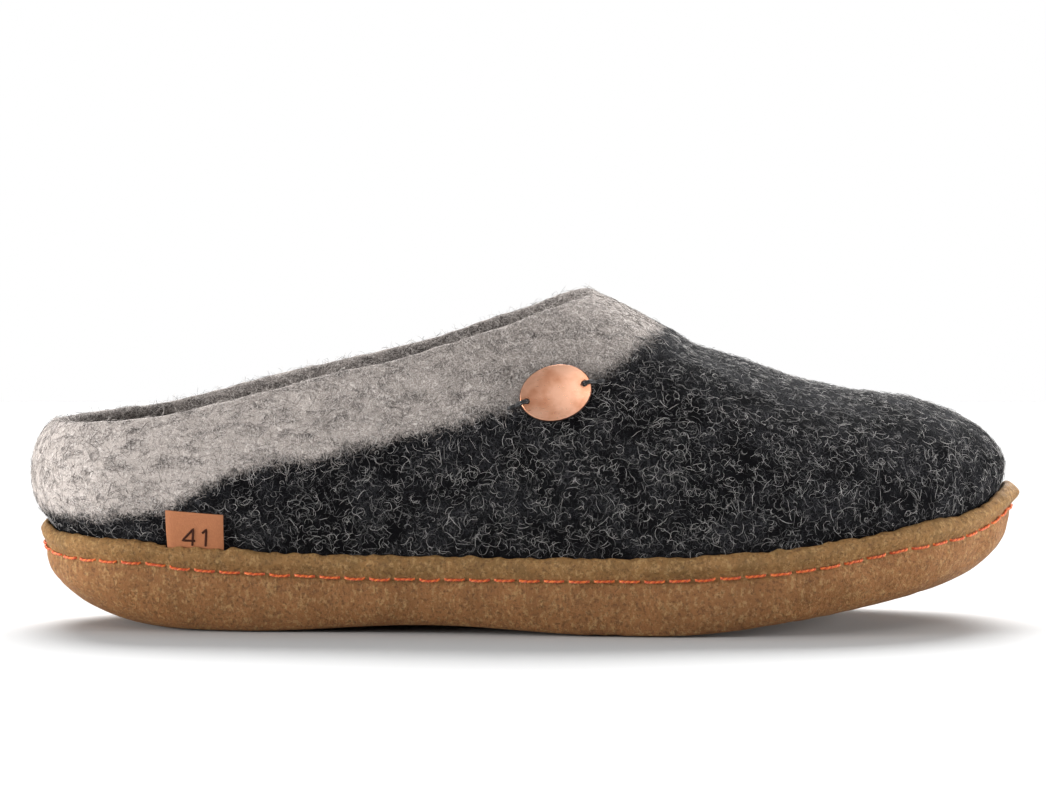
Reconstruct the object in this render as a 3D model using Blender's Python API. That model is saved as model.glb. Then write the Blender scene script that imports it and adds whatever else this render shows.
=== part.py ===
"""A felt slipper for the right foot, about EU size 41: a seamless felted upper in a crepe rubber cup.

X runs from heel to toe, Y from the outer side of the foot to its inner side, and Z up from the floor.
Every piece follows one outline, which is read by its turn: 0 at the back of the heel, a half turn at the
tip of the toe, by way of the outer side, and a whole turn back at the heel, by way of the inner side.
Sizes are in metres.
"""

import math

import bmesh
import bpy
import numpy as np
from mathutils import Matrix, Vector

MM = 0.001
HALF_TURN = math.pi
FULL_TURN = 2 * math.pi

# Outline of the sole, measured over its lip
SOLE_LENGTH = 285 * MM
BALL_WIDTH = 106 * MM
WAIST_WIDTH = 78 * MM
HEEL_WIDTH = 76 * MM

# Height of the lip above the floor
WAIST_SIDE_HEIGHT = 22.7 * MM
HEEL_SIDE_HEIGHT = 30.2 * MM
TOE_SIDE_HEIGHT = 40.2 * MM

# Rubber cup
RUBBER_WALL = 4 * MM
RUBBER_FLOOR = 8 * MM
LIP_DROP = 2.6 * MM
LIP_CROWN = 0.4 * MM
SEAM_BELOW_LIP = 6.4 * MM
SEAM_DEPTH = 2.4 * MM
SIDE_BELOW_LIP = 8.8 * MM
SIDE_INSET = 2 * MM
HEEL_FULLNESS = 1.7
TOE_FULLNESS = 2
TREAD_INSET = 7.4 * MM
TREAD_HEEL_START = 34 * MM
TREAD_TOE_END = 32.5 * MM
CUP_ROUND = 6 * MM
CUP_HEEL_START = 17 * MM
CUP_TOE_END = 15.5 * MM

# Underside: two flat spots, a low arch between them and a toe spring in front
HEEL_FLAT_END = 65 * MM
BALL_FLAT_START = 164 * MM
BALL_FLAT_END = 184 * MM
ARCH_LIFT = 2.2 * MM
TOE_SPRING = 17.5 * MM
TOE_SPRING_POWER = 1.35

# Felt upper
FELT_WALL = 4.5 * MM
INSTEP_HEIGHT = 97.5 * MM
BULGE = 6.5 * MM
BULGE_POWER = 0.55
ARCH_FULLNESS = 2.4
ANKLE_FROM_HEEL = 45 * MM
THROAT_FROM_HEEL = 161.2 * MM
THROAT_ROUND = 30 * MM

# Insole, tag and badge
INSOLE_THICKNESS = 4.5 * MM
TAG_WIDTH = 16.5 * MM
TAG_SHOWN = 10 * MM
TAG_TUCK = 4.5 * MM
TAG_THICKNESS = 1.1 * MM
TAG_SHARE = 0.1645
BADGE_LENGTH = 21 * MM
BADGE_WIDTH = 16.5 * MM
BADGE_THICKNESS = 1.1 * MM
BADGE_BEND_RADIUS = 70 * MM
BADGE_HOLE_PITCH = 17.2 * MM
BADGE_HOLE_DIAMETER = 1.8 * MM
BADGE_TILT = math.radians(18)
BADGE_SHARE = 0.527
BADGE_HEIGHT = 69.3 * MM
BADGE_SEAT = 1.1

CLEARANCE = 0.3 * MM

# How finely the forms are cut
REAR_STEPS = 26
REAR_CROWDING = 1.75
FRONT_STEPS = 18
FRONT_CROWDING = 1.3
ARCH_ROWS = 10
ROW_CROWDING = 1.15
RIM_ROWS = 3
CUP_ROWS = 3
SIDE_ROWS = 6
TAG_COLUMNS = 7
TAG_ROWS = 6
BADGE_SEGMENTS = 32
HOLE_SEGMENTS = 16
SEAT_SAMPLES = 9

# Turn between a point of the outline and the neighbours that its slope is read from
SLOPE_STEP = 0.01

# Outline: share of the sole's length, the width it is a share of, outer side, inner side
OUTLINE = (
    (0.00, HEEL_WIDTH, 0.00, 0.00),
    (0.03, HEEL_WIDTH, 0.58, 0.58),
    (0.08, HEEL_WIDTH, 0.86, 0.87),
    (0.15, HEEL_WIDTH, 0.98, 0.99),
    (0.23, HEEL_WIDTH, 1.01, 0.97),
    (0.36, WAIST_WIDTH, 1.06, 0.89),
    (0.47, BALL_WIDTH, 0.86, 0.68),
    (0.58, BALL_WIDTH, 0.95, 0.79),
    (0.68, BALL_WIDTH, 1.00, 0.92),
    (0.76, BALL_WIDTH, 0.98, 0.98),
    (0.84, BALL_WIDTH, 0.87, 0.95),
    (0.91, BALL_WIDTH, 0.68, 0.85),
    (0.965, BALL_WIDTH, 0.36, 0.68),
    (1.00, BALL_WIDTH, -0.16, 0.16),
)

# Lip of the cup: share of the length, rise to the heel, rise to the toe
LIP_LINE = (
    (0.00, 1.00, 0.00),
    (0.025, 0.62, 0.00),
    (0.10, 0.54, 0.00),
    (0.15, 0.355, 0.00),
    (0.23, 0.145, 0.00),
    (0.37, 0.00, 0.00),
    (0.60, 0.00, 0.00),
    (0.72, 0.00, 0.094),
    (0.80, 0.00, 0.23),
    (0.88, 0.00, 0.47),
    (0.95, 0.00, 0.63),
    (1.00, 0.00, 1.00),
)

THROAT_SHARE = THROAT_FROM_HEEL / SOLE_LENGTH

# Collar: share of the length, height of the felt's outer edge as a share of the instep, width of the
# opening as a share of the felt's width over the lip
COLLAR = (
    (0.00, 0.588, 0.980),
    (0.06, 0.602, 0.975),
    (0.15, 0.641, 0.960),
    (0.26, 0.718, 0.920),
    (0.37, 0.800, 0.860),
    (0.45, 0.874, 0.790),
    (0.51, 0.938, 0.710),
    (0.545, 0.980, 0.665),
    (THROAT_SHARE, 1.00, 0.640),
)

# Ridge from the throat to the toe: share of the length, height as a share of the instep
RIDGE = (
    (THROAT_SHARE, 1.00),
    (0.58, 0.985),
    (0.60, 0.951),
    (0.64, 0.879),
    (0.68, 0.820),
    (0.72, 0.775),
    (0.77, 0.734),
    (0.81, 0.704),
    (0.87, 0.679),
    (0.93, 0.638),
    (0.97, 0.581),
    (1.00, 0.470),
)

# Body of the upper: share of the length, place of its middle as a share of half the ball width, swell
# over the lip as a share of the bulge, height where the swell ends as a share of the instep
BODY = (
    (0.00, 0.00, 1.00, 0.600),
    (0.06, 0.00, 0.85, 0.614),
    (0.16, 0.00, 0.62, 0.658),
    (0.26, 0.00, 0.50, 0.730),
    (0.37, 0.01, 0.42, 0.812),
    (0.47, 0.02, 0.38, 0.900),
    (0.53, 0.03, 0.36, 0.950),
    (0.5655, 0.04, 0.35, 0.965),
    (0.60, 0.05, 0.35, 0.945),
    (0.64, 0.06, 0.34, 0.879),
    (0.68, 0.07, 0.33, 0.820),
    (0.72, 0.08, 0.32, 0.775),
    (0.77, 0.10, 0.31, 0.734),
    (0.81, 0.11, 0.30, 0.704),
    (0.87, 0.13, 0.28, 0.679),
    (0.93, 0.145, 0.25, 0.638),
    (0.97, 0.155, 0.22, 0.581),
    (1.00, 0.160, 0.20, 0.580),
)

# Profile of the badge, from the middle of its back to the middle of its face: share of its size, share
# of its thickness
BADGE_PROFILE = (
    (0.35, 0.00),
    (0.70, 0.00),
    (0.97, 0.00),
    (1.00, 0.15),
    (1.00, 0.85),
    (0.97, 1.00),
    (0.70, 1.00),
    (0.35, 1.00),
)

# Surfaces: red, green and blue, roughness, metallic, degrees from which an edge looks sharp
SURFACES = {
    "outsole": ((0.42, 0.22, 0.09), 0.62, 0.0, 30),
    "upper": ((0.05, 0.05, 0.055), 0.95, 0.0, 60),
    "insole": ((0.30, 0.28, 0.26), 0.95, 0.0, 50),
    "size_tag": ((0.45, 0.20, 0.09), 0.65, 0.0, 40),
    "badge": ((0.80, 0.40, 0.24), 0.32, 1.0, 40),
}


def smooth_curve(knots, values, at, level_start=False, level_end=False):
    """The value at each place of a smooth curve through the knots, with no overshoot between them."""
    knots, values = np.asarray(knots, float), np.asarray(values, float)
    step = np.diff(knots)
    rise = np.diff(values) / step
    product = rise[:-1] * rise[1:]
    total = np.where(product > 0, rise[:-1] + rise[1:], 1.0)
    inner = np.where(product > 0, 2 * product / total, 0.0)
    slope = np.concatenate([rise[:1] * (not level_start), inner, rise[-1:] * (not level_end)])
    at = np.clip(at, knots[0], knots[-1])
    i = np.clip(np.searchsorted(knots, at, side="right") - 1, 0, len(step) - 1)
    t = (at - knots[i]) / step[i]
    start = (1 + 2 * t) * (1 - t) ** 2 * values[i] + t * (1 - t) ** 2 * step[i] * slope[i]
    end = t * t * (3 - 2 * t) * values[i + 1] + t * t * (t - 1) * step[i] * slope[i + 1]
    return start + end


def turn_of_share(share):
    """The turn on the outer side at a share of the length. Even turns crowd towards both round ends."""
    return np.arccos(1 - 2 * np.asarray(share, float))


def from_heel(turn):
    """The same station's turn on the outer side, for a turn on either side."""
    turn = np.mod(turn, FULL_TURN)
    return np.minimum(turn, FULL_TURN - turn)


def on_inner_side(turn):
    """Whether each turn lies on the inner side of the foot."""
    return np.mod(turn, FULL_TURN) > HALF_TURN


def column(table, index, turn):
    """One column of a table by share of length, read at each turn. It is level at heel and toe."""
    shares = [row[0] for row in table]
    values = [row[index] for row in table]
    ends = {"level_start": shares[0] == 0, "level_end": shares[-1] == 1}
    return smooth_curve(turn_of_share(shares), values, from_heel(turn), **ends)


def edge(turn):
    """Points of the outline over the lip, before it is centred."""
    share = (1 - np.cos(turn)) / 2
    knots = turn_of_share([row[0] for row in OUTLINE])
    outer = smooth_curve(knots, [row[1] / 2 * row[2] for row in OUTLINE], from_heel(turn))
    inner = smooth_curve(knots, [row[1] / 2 * row[3] for row in OUTLINE], from_heel(turn))
    return np.stack([share * SOLE_LENGTH, np.where(on_inner_side(turn), inner, -outer)], axis=-1)


def outward(turn):
    """Unit vectors square to the outline, in plan."""
    along = edge(turn + SLOPE_STEP) - edge(turn - SLOPE_STEP)
    normal = np.stack([along[..., 1], -along[..., 0]], axis=-1)
    return normal / np.linalg.norm(normal, axis=-1, keepdims=True)


def inset_edge(turn, inset):
    """Points of the outline, moved inwards."""
    return edge(turn) - outward(turn) * inset


def drawn_in(turn, inset, heel_start, toe_end):
    """The outline inset at the sides, with its two ends drawn in to their own places."""
    points = inset_edge(turn, inset)
    share = (points[..., 0] - inset) / (SOLE_LENGTH - 2 * inset)
    points[..., 0] = heel_start + share * (SOLE_LENGTH - toe_end - heel_start)
    return points


def lift(x):
    """Height of the tread above the floor."""
    waist = np.clip((x - HEEL_FLAT_END) / (BALL_FLAT_START - HEEL_FLAT_END), 0, 1)
    front = np.clip((x - BALL_FLAT_END) / (SOLE_LENGTH - BALL_FLAT_END), 0, 1)
    return ARCH_LIFT * np.sin(math.pi * waist) ** 2 + TOE_SPRING * front**TOE_SPRING_POWER


def lip_height(turn):
    """Height of the cup's lip where it meets the felt."""
    heel = column(LIP_LINE, 1, turn) * (HEEL_SIDE_HEIGHT - WAIST_SIDE_HEIGHT)
    toe = column(LIP_LINE, 2, turn) * (TOE_SIDE_HEIGHT - WAIST_SIDE_HEIGHT)
    return WAIST_SIDE_HEIGHT + heel + toe


def at_height(plan, height):
    """Points in space from points in plan and their heights."""
    return np.concatenate([plan, np.broadcast_to(height, plan.shape[:-1])[..., None]], axis=-1)


def quarter_round(start, end, angle, fullness=2.0):
    """A point on the quarter ellipse, or fuller curve, from start, straight down, to end, level."""
    across = 1 - np.cos(angle) ** (2 / np.asarray(fullness))
    down = np.sin(angle) ** (2 / np.asarray(fullness))
    plan = start[..., :2] + (end[..., :2] - start[..., :2]) * across[..., None]
    return at_height(plan, start[..., 2] + (end[..., 2] - start[..., 2]) * down)


def cup_wall(turn, angle, gap=0.0, depth=0.0):
    """The inner wall of the rubber cup, or the felt in it: a gap off the rubber, a depth in the felt."""
    inset = gap + depth
    top = at_height(inset_edge(turn, RUBBER_WALL + inset), lip_height(turn))
    plan = drawn_in(turn, RUBBER_WALL + CUP_ROUND + inset, CUP_HEEL_START + inset, CUP_TOE_END + inset)
    floor = at_height(plan, lift(plan[..., 0]) + RUBBER_FLOOR + gap)
    return quarter_round(top, floor, angle)


def felt_base(turn, depth=0.0):
    """The outline of the felt at the lip, at a depth from its outer surface."""
    return inset_edge(turn, RUBBER_WALL + CLEARANCE + depth)


def centre_line(turn, depth=0.0):
    """The point on the foot's centre line that each section of the upper closes towards."""
    turn = from_heel(turn)
    ends = felt_base(turn, depth), felt_base(FULL_TURN - turn, depth)
    x = np.maximum((ends[0][..., 0] + ends[1][..., 0]) / 2, ANKLE_FROM_HEEL)
    return np.stack([x, column(BODY, 1, turn) * BALL_WIDTH / 2], axis=-1)


def behind_throat(turn):
    """Whether each turn lies beside the opening."""
    return from_heel(turn) < turn_of_share(THROAT_SHARE)


def felt_top(turn):
    """Height of the felt's outer edge at the collar, and of the ridge in front of the throat."""
    share = np.where(behind_throat(turn), column(COLLAR, 1, turn), column(RIDGE, 1, turn))
    return share * INSTEP_HEIGHT


def opening_width(turn):
    """Width of the collar as a share of the felt's width. It is rounded at the throat."""
    share = (1 - np.cos(turn)) / 2
    back = np.clip((THROAT_SHARE - share) * SOLE_LENGTH / THROAT_ROUND, 0, 1)
    return column(COLLAR, 2, turn) * (1 - (1 - back) ** 2) ** (1 / ARCH_FULLNESS)


def rise_where(spread):
    """The rise of a section, as a share of its reach, where its width has shrunk to spread."""
    return (1 - spread**ARCH_FULLNESS) ** (1 / ARCH_FULLNESS)


def section_reach(turn, depth=0.0):
    """How far each section's crown lies above the lip. Behind the throat the collar cuts it off."""
    reach = (felt_top(turn) - lip_height(turn)) / rise_where(opening_width(turn))
    return reach * reach / (reach + depth)


def felt_point(turn, rise, depth=0.0):
    """A point of the upper at a share of the way up to its crown, at a depth from its outer surface."""
    swell_end = column(BODY, 3, turn) * INSTEP_HEIGHT - lip_height(turn)
    share = np.clip(rise * section_reach(turn) / swell_end, 0, 1)
    swell = np.sin(math.pi * share) ** BULGE_POWER * column(BODY, 2, turn) * BULGE
    middle = centre_line(turn, depth)
    plan = middle + (felt_base(turn, depth) - middle) * rise_where(rise)[..., None]
    plan = plan + outward(turn) * swell[..., None]
    return at_height(plan, lip_height(turn) + rise * section_reach(turn, depth))


def felt_outside(turn, height):
    """A point of the upper's outer surface, at a height above the floor that is over the lip."""
    return felt_point(turn, np.clip((height - lip_height(turn)) / section_reach(turn), 0, 1))


def felt_row(turn, step, depth):
    """One row of the upper, from the lip at step 0 to the collar and ridge at the last step."""
    last_angle = np.arccos(opening_width(turn) ** (ARCH_FULLNESS / 2))
    angle = last_angle * (step / ARCH_ROWS) ** ROW_CROWDING
    return felt_point(turn, np.sin(angle) ** (2 / ARCH_FULLNESS), depth)


def station_turns():
    """Turns of the stations round the outline. They crowd at the front of the collar, where it bends."""
    throat = float(turn_of_share(THROAT_SHARE))
    rear = throat * (1 - (1 - np.arange(REAR_STEPS) / REAR_STEPS) ** REAR_CROWDING)
    front_steps = np.arange(FRONT_STEPS + 1) / FRONT_STEPS
    front = throat + (HALF_TURN - throat) * front_steps**FRONT_CROWDING
    outer = np.concatenate([rear, front])
    return np.concatenate([outer, FULL_TURN - outer[-2:0:-1]])


def add_ring(bm, points):
    """New vertices at the points."""
    return [bm.verts.new(point) for point in points]


def join_rings(bm, first, second):
    """Faces between two closed rings with as many points."""
    for i in range(len(first)):
        j = (i + 1) % len(first)
        bm.faces.new((first[i], first[j], second[j], second[i]))


def cover_ring(bm, ring):
    """Closes a ring of the outline with strips from its outer side to its inner side."""
    last = len(ring)
    for i in range(last // 2):
        corners = [ring[i], ring[i + 1], ring[last - i - 1], ring[-i]]
        bm.faces.new(list(dict.fromkeys(corners)))


def finished(bm, name):
    """An object made of the mesh, faces outwards, with its own material if its surface is listed."""
    bmesh.ops.recalc_face_normals(bm, faces=bm.faces)
    if bm.calc_volume(signed=True) < 0:
        bmesh.ops.reverse_faces(bm, faces=bm.faces)
    mesh = bpy.data.meshes.new(name)
    bm.to_mesh(mesh)
    bm.free()
    piece = bpy.data.objects.new(name, mesh)
    bpy.context.scene.collection.objects.link(piece)
    if name in SURFACES:
        colour, roughness, metallic, sharp_from = SURFACES[name]
        mesh.shade_smooth()
        mesh.set_sharp_from_angle(angle=math.radians(sharp_from))
        material = bpy.data.materials.new(name)
        material.use_nodes = True
        shader = material.node_tree.nodes["Principled BSDF"]
        shader.inputs["Base Color"].default_value = (*colour, 1.0)
        shader.inputs["Roughness"].default_value = roughness
        shader.inputs["Metallic"].default_value = metallic
        mesh.materials.append(material)
    return piece


def cut_out(piece, cutter):
    """Takes the cutter's form out of the piece."""
    cutter.hide_render = True
    cutter.display_type = "WIRE"
    cut = piece.modifiers.new(cutter.name, "BOOLEAN")
    cut.operation = "DIFFERENCE"
    cut.solver = "EXACT"
    cut.object = cutter


def make_outsole(turns):
    """The rubber cup: inner wall, rolled lip, stitched groove, rounded side and tread."""
    lip = lip_height(turns)
    side = at_height(inset_edge(turns, SIDE_INSET), lip - SIDE_BELOW_LIP)
    tread_plan = drawn_in(turns, TREAD_INSET, TREAD_HEEL_START, TREAD_TOE_END)
    tread = at_height(tread_plan, lift(tread_plan[:, 0]))
    inside = [cup_wall(turns, HALF_TURN / 2 * (1 - i / CUP_ROWS)) for i in range(CUP_ROWS + 1)]
    outside = [
        at_height(inset_edge(turns, RUBBER_WALL / 2), lip + LIP_CROWN),
        at_height(edge(turns), lip - LIP_DROP),
        at_height(inset_edge(turns, SEAM_DEPTH / 2), lip - (LIP_DROP + SEAM_BELOW_LIP) / 2),
        at_height(inset_edge(turns, SEAM_DEPTH), lip - SEAM_BELOW_LIP),
    ]
    fullness = HEEL_FULLNESS + (TOE_FULLNESS - HEEL_FULLNESS) * side[:, 0] / SOLE_LENGTH
    for i in range(SIDE_ROWS + 1):
        outside.append(quarter_round(side, tread, HALF_TURN / 2 * i / SIDE_ROWS, fullness))
    bm = bmesh.new()
    rings = [add_ring(bm, points) for points in inside + outside]
    for first, second in zip(rings, rings[1:]):
        join_rings(bm, first, second)
    cover_ring(bm, rings[0])
    cover_ring(bm, rings[-1])
    return finished(bm, "outsole")


def felt_sheet(bm, rows):
    """The faces of one surface of the upper. In front of the throat both sides share the ridge."""
    count = len(rows[0])
    grid = [add_ring(bm, row) for row in rows[:-1]]
    top = {}
    for i in range(count):
        station = min(i, count - i)
        shared = station if station >= REAR_STEPS else i
        if shared not in top:
            top[shared] = bm.verts.new(rows[-1][shared])
        top[i] = top[shared]
    grid.append([top[i] for i in range(count)])
    for lower, upper in zip(grid, grid[1:]):
        join_rings(bm, lower, upper)
    return grid


def rounded_rim(outer, inner):
    """Rows of points over the felt's cut edge, from its outer surface to its inner one."""
    middle, half = (outer + inner) / 2, (outer - inner) / 2
    along = np.roll(middle, -1, axis=0) - np.roll(middle, 1, axis=0)
    away = np.cross(along, half)
    away *= (np.linalg.norm(half, axis=1) / np.linalg.norm(away, axis=1))[:, None]
    away *= np.sign(away[0, 2])
    angles = [HALF_TURN * (i + 1) / (RIM_ROWS + 1) for i in range(RIM_ROWS)]
    return [middle + half * math.cos(angle) + away * math.sin(angle) for angle in angles]


def felt_rows(turns, depth):
    """The rows of points of one surface of the upper, from its foot in the cup to its top."""
    angles = [HALF_TURN / 2 * (1 - i / CUP_ROWS) for i in range(CUP_ROWS)]
    in_cup = [cup_wall(turns, angle, CLEARANCE, depth) for angle in angles]
    return in_cup + [felt_row(turns, step, depth) for step in range(ARCH_ROWS + 1)]


def make_upper(turns):
    """The felted shell, with its foot in the cup and its cut edge rounded at the collar."""
    bm = bmesh.new()
    outer_rows, inner_rows = felt_rows(turns, 0.0), felt_rows(turns, FELT_WALL)
    outer, inner = felt_sheet(bm, outer_rows), felt_sheet(bm, inner_rows)
    join_rings(bm, outer[0], inner[0])
    count = len(turns)
    rim = list(range(REAR_STEPS + 1)) + list(range(count - REAR_STEPS + 1, count))
    rim_rings = [add_ring(bm, points) for points in rounded_rim(outer_rows[-1][rim], inner_rows[-1][rim])]
    rim_rings = [[outer[-1][i] for i in rim], *rim_rings, [inner[-1][i] for i in rim]]
    for first, second in zip(rim_rings, rim_rings[1:]):
        join_rings(bm, first, second)
    return finished(bm, "upper")


def make_insole(turns):
    """The footbed, which fills the opening under the upper and lies on the floor of the cup."""
    foot = cup_wall(turns, HALF_TURN / 2, CLEARANCE, FELT_WALL + CLEARANCE)
    bm = bmesh.new()
    rings = [add_ring(bm, foot + np.array([0, 0, height])) for height in (0.0, INSOLE_THICKNESS)]
    join_rings(bm, *rings)
    for ring in rings:
        cover_ring(bm, ring)
    return finished(bm, "insole")


def tag_block(name, width, top, bottom, inside, outside):
    """A curved block that follows the felt beside the heel, between two distances from the felt."""
    middle = float(turn_of_share(TAG_SHARE))
    speed = np.linalg.norm(edge(middle + SLOPE_STEP) - edge(middle - SLOPE_STEP)) / (2 * SLOPE_STEP)
    turns = middle + np.linspace(-width / 2, width / 2, TAG_COLUMNS) / speed
    lip = lip_height(turns)
    out = at_height(outward(turns), 0.0)
    bm = bmesh.new()
    columns = []
    for rise in np.linspace(bottom, top, TAG_ROWS):
        felt = felt_outside(turns, lip + max(rise, 0.0)) + np.array([0, 0, min(rise, 0.0)])
        near, far = felt + out * inside, felt + out * outside
        columns.append(add_ring(bm, np.concatenate([near, far[::-1]])))
    for first, second in zip(columns, columns[1:]):
        join_rings(bm, first, second)
    for ring in (columns[0], columns[-1]):
        for i in range(len(ring) // 2 - 1):
            bm.faces.new((ring[i], ring[i + 1], ring[-i - 2], ring[-i - 1]))
    return finished(bm, name)


def make_size_tag(outsole):
    """The leather tab, and the pocket behind the lip that its lower end is tucked into."""
    tag_back, tag_face = CLEARANCE, CLEARANCE + TAG_THICKNESS
    tag = tag_block("size_tag", TAG_WIDTH, TAG_SHOWN, -TAG_TUCK, tag_back, tag_face)
    pocket_width = TAG_WIDTH + 2 * CLEARANCE
    pocket_floor = -TAG_TUCK - CLEARANCE
    pocket_back, pocket_face = -FELT_WALL / 2, tag_face + CLEARANCE
    pocket = tag_block("tag_pocket", pocket_width, TAG_SHOWN / 2, pocket_floor, pocket_back, pocket_face)
    cut_out(outsole, pocket)
    return tag


def badge_bend(y):
    """How far the badge's back curves down at a distance from its long axis."""
    return y * y / (2 * BADGE_BEND_RADIUS)


def badge_frame():
    """Where the badge lies on the felt: the middle of its back, its long side, short side and face."""
    turn = float(turn_of_share(BADGE_SHARE))
    sides = [Vector(felt_outside(turn + step, BADGE_HEIGHT)) for step in (-SLOPE_STEP, SLOPE_STEP)]
    ends = [Vector(felt_outside(turn, BADGE_HEIGHT + step)) for step in (-MM, MM)]
    along = (sides[1] - sides[0]).normalized()
    out = along.cross(ends[1] - ends[0]).normalized()
    frame = Matrix((along, out.cross(along), out)).transposed().to_4x4()
    frame @= Matrix.Rotation(BADGE_TILT, 4, "Z")
    frame.translation = Vector(felt_outside(turn, BADGE_HEIGHT))
    spread = np.linspace(-1, 1, SEAT_SAMPLES)
    turns = turn + spread[:, None] * BADGE_LENGTH / SOLE_LENGTH
    heights = BADGE_HEIGHT + spread * BADGE_LENGTH / 2
    felt = felt_outside(*np.broadcast_arrays(turns, heights)).reshape(-1, 3)
    x, y, z = np.array([frame.inverted() @ Vector(point) for point in felt]).T
    covered = np.hypot(2 * x / BADGE_LENGTH, 2 * y / BADGE_WIDTH) < BADGE_SEAT
    frame.translation += out * (np.max((z + badge_bend(y))[covered]) + CLEARANCE)
    return frame


def make_badge():
    """The oval copper disc, bent round its long side, with a hole near each end for the thread."""
    angles = (np.arange(BADGE_SEGMENTS) + 0.5) * FULL_TURN / BADGE_SEGMENTS
    bm = bmesh.new()
    rings = []
    for size, level in BADGE_PROFILE:
        x = np.cos(angles) * BADGE_LENGTH / 2 * size
        y = np.sin(angles) * BADGE_WIDTH / 2 * size
        rings.append(add_ring(bm, np.stack([x, y, level * BADGE_THICKNESS - badge_bend(y)], axis=1)))
    for first, second in zip(rings, rings[1:]):
        join_rings(bm, first, second)
    for ring in (rings[0], rings[-1]):
        bm.faces.new(ring)
    badge = finished(bm, "badge")
    badge.matrix_world = badge_frame()
    for end in (-1, 1):
        radius, depth = BADGE_HOLE_DIAMETER / 2, BADGE_THICKNESS * 4
        bm = bmesh.new()
        bmesh.ops.create_cone(
            bm, cap_ends=True, segments=HOLE_SEGMENTS, radius1=radius, radius2=radius, depth=depth
        )
        drill = finished(bm, "badge_drill")
        drill.matrix_world = badge.matrix_world @ Matrix.Translation((end * BADGE_HOLE_PITCH / 2, 0, 0))
        cut_out(badge, drill)
    return badge


def centre_on_floor(pieces):
    """Moves everything so that the origin is on the floor under the middle of the slipper."""
    points = np.array([piece.matrix_world @ vert.co for piece in pieces for vert in piece.data.vertices])
    middle = (points.min(axis=0) + points.max(axis=0)) / 2
    shift = Matrix.Translation((-middle[0], -middle[1], 0.0))
    for item in bpy.data.objects:
        item.matrix_world = shift @ item.matrix_world


def main():
    for old in list(bpy.data.objects):
        bpy.data.objects.remove(old)
    turns = station_turns()
    outsole = make_outsole(turns)
    upper = make_upper(turns)
    insole = make_insole(turns)
    tag = make_size_tag(outsole)
    badge = make_badge()
    bpy.context.view_layer.update()
    centre_on_floor([outsole, upper, insole, tag, badge])


main()
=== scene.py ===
"""The looks of a felt slipper: a two-tone felted wool upper sewn into a cup of crepe rubber.

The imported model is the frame. The soft and the rounded pieces are finer copies of its nodes, and the
wool's fibres, the lockstitch, the figures on the tag and the badge's thread are added to them. Metres.
"""

import logging
import math
from dataclasses import dataclass
from enum import Enum
from typing import Any

import bmesh
import bpy
import numpy as np
from mathutils import Euler, Matrix, Vector
from mathutils.bvhtree import BVHTree
from mathutils.kdtree import KDTree


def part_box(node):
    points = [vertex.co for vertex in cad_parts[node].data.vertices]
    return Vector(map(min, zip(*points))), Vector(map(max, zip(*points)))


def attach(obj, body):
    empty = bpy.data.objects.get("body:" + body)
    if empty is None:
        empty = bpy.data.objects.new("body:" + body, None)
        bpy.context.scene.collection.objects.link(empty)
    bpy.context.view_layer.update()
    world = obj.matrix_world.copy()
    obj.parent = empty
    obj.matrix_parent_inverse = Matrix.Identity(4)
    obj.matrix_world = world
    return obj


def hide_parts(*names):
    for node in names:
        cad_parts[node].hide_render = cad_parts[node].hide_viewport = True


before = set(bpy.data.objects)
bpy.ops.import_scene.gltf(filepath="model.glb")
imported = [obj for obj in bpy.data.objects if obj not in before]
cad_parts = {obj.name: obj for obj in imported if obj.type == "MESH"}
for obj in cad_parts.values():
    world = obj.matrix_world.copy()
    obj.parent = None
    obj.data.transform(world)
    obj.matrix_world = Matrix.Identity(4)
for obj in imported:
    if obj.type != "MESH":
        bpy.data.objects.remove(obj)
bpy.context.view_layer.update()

MM = 0.001
BODY = "root"
# How many places are looked up at once, which bounds the memory
LOT = 4096
# The foot's middle line: how far it reaches each way, and its height
FOOT_REACH = 95 * MM
FOOT_HEIGHT = 35 * MM
log = logging.getLogger("felt_slipper")

Piece = bpy.types.Object
Curve = bpy.types.Curve
LooseMesh = bmesh.types.BMesh
Socket = bpy.types.NodeSocket
Tree = bpy.types.NodeTree
Triple = tuple[float, float, float]


class Slot(Enum):
    """The record's material slots."""

    RUBBER = "crepe_rubber"
    UPPER = "upper_felt"
    INSOLE = "insole_felt"
    LEATHER = "tag_leather"
    COPPER = "badge_copper"


class Wool(Enum):
    """The two wools of the upper: the charcoal body and the light band round its collar."""

    BODY = "body"
    BAND = "band"


def linear(hex_colour: str, alpha: float = 1.0) -> tuple[float, float, float, float]:
    """Turns an sRGB colour into a linear one.

    Args:
        hex_colour: The colour as #rrggbb.
        alpha: Its opacity.

    Returns:
        Red, green, blue and alpha.
    """
    parts = [int(hex_colour[i : i + 2], 16) / 255 for i in (1, 3, 5)]
    turned = [c / 12.92 if c <= 0.04045 else ((c + 0.055) / 1.055) ** 2.4 for c in parts]
    return (turned[0], turned[1], turned[2], alpha)


def add_node(tree: Tree, kind: str, inputs: dict[Any, Any], **settings: Any) -> bpy.types.Node:
    """Adds a node with its settings, values and links.

    Args:
        tree: The material's node tree.
        kind: The node's type.
        inputs: A value, or a socket to link from, for each input by name or number.
        **settings: The node's own settings.

    Returns:
        The new node.
    """
    node = tree.nodes.new(kind)
    for key, value in settings.items():
        setattr(node, key, value)
    for key, value in inputs.items():
        if isinstance(value, bpy.types.NodeSocket):
            tree.links.new(value, node.inputs[key])
        else:
            node.inputs[key].default_value = value
    return node


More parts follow.
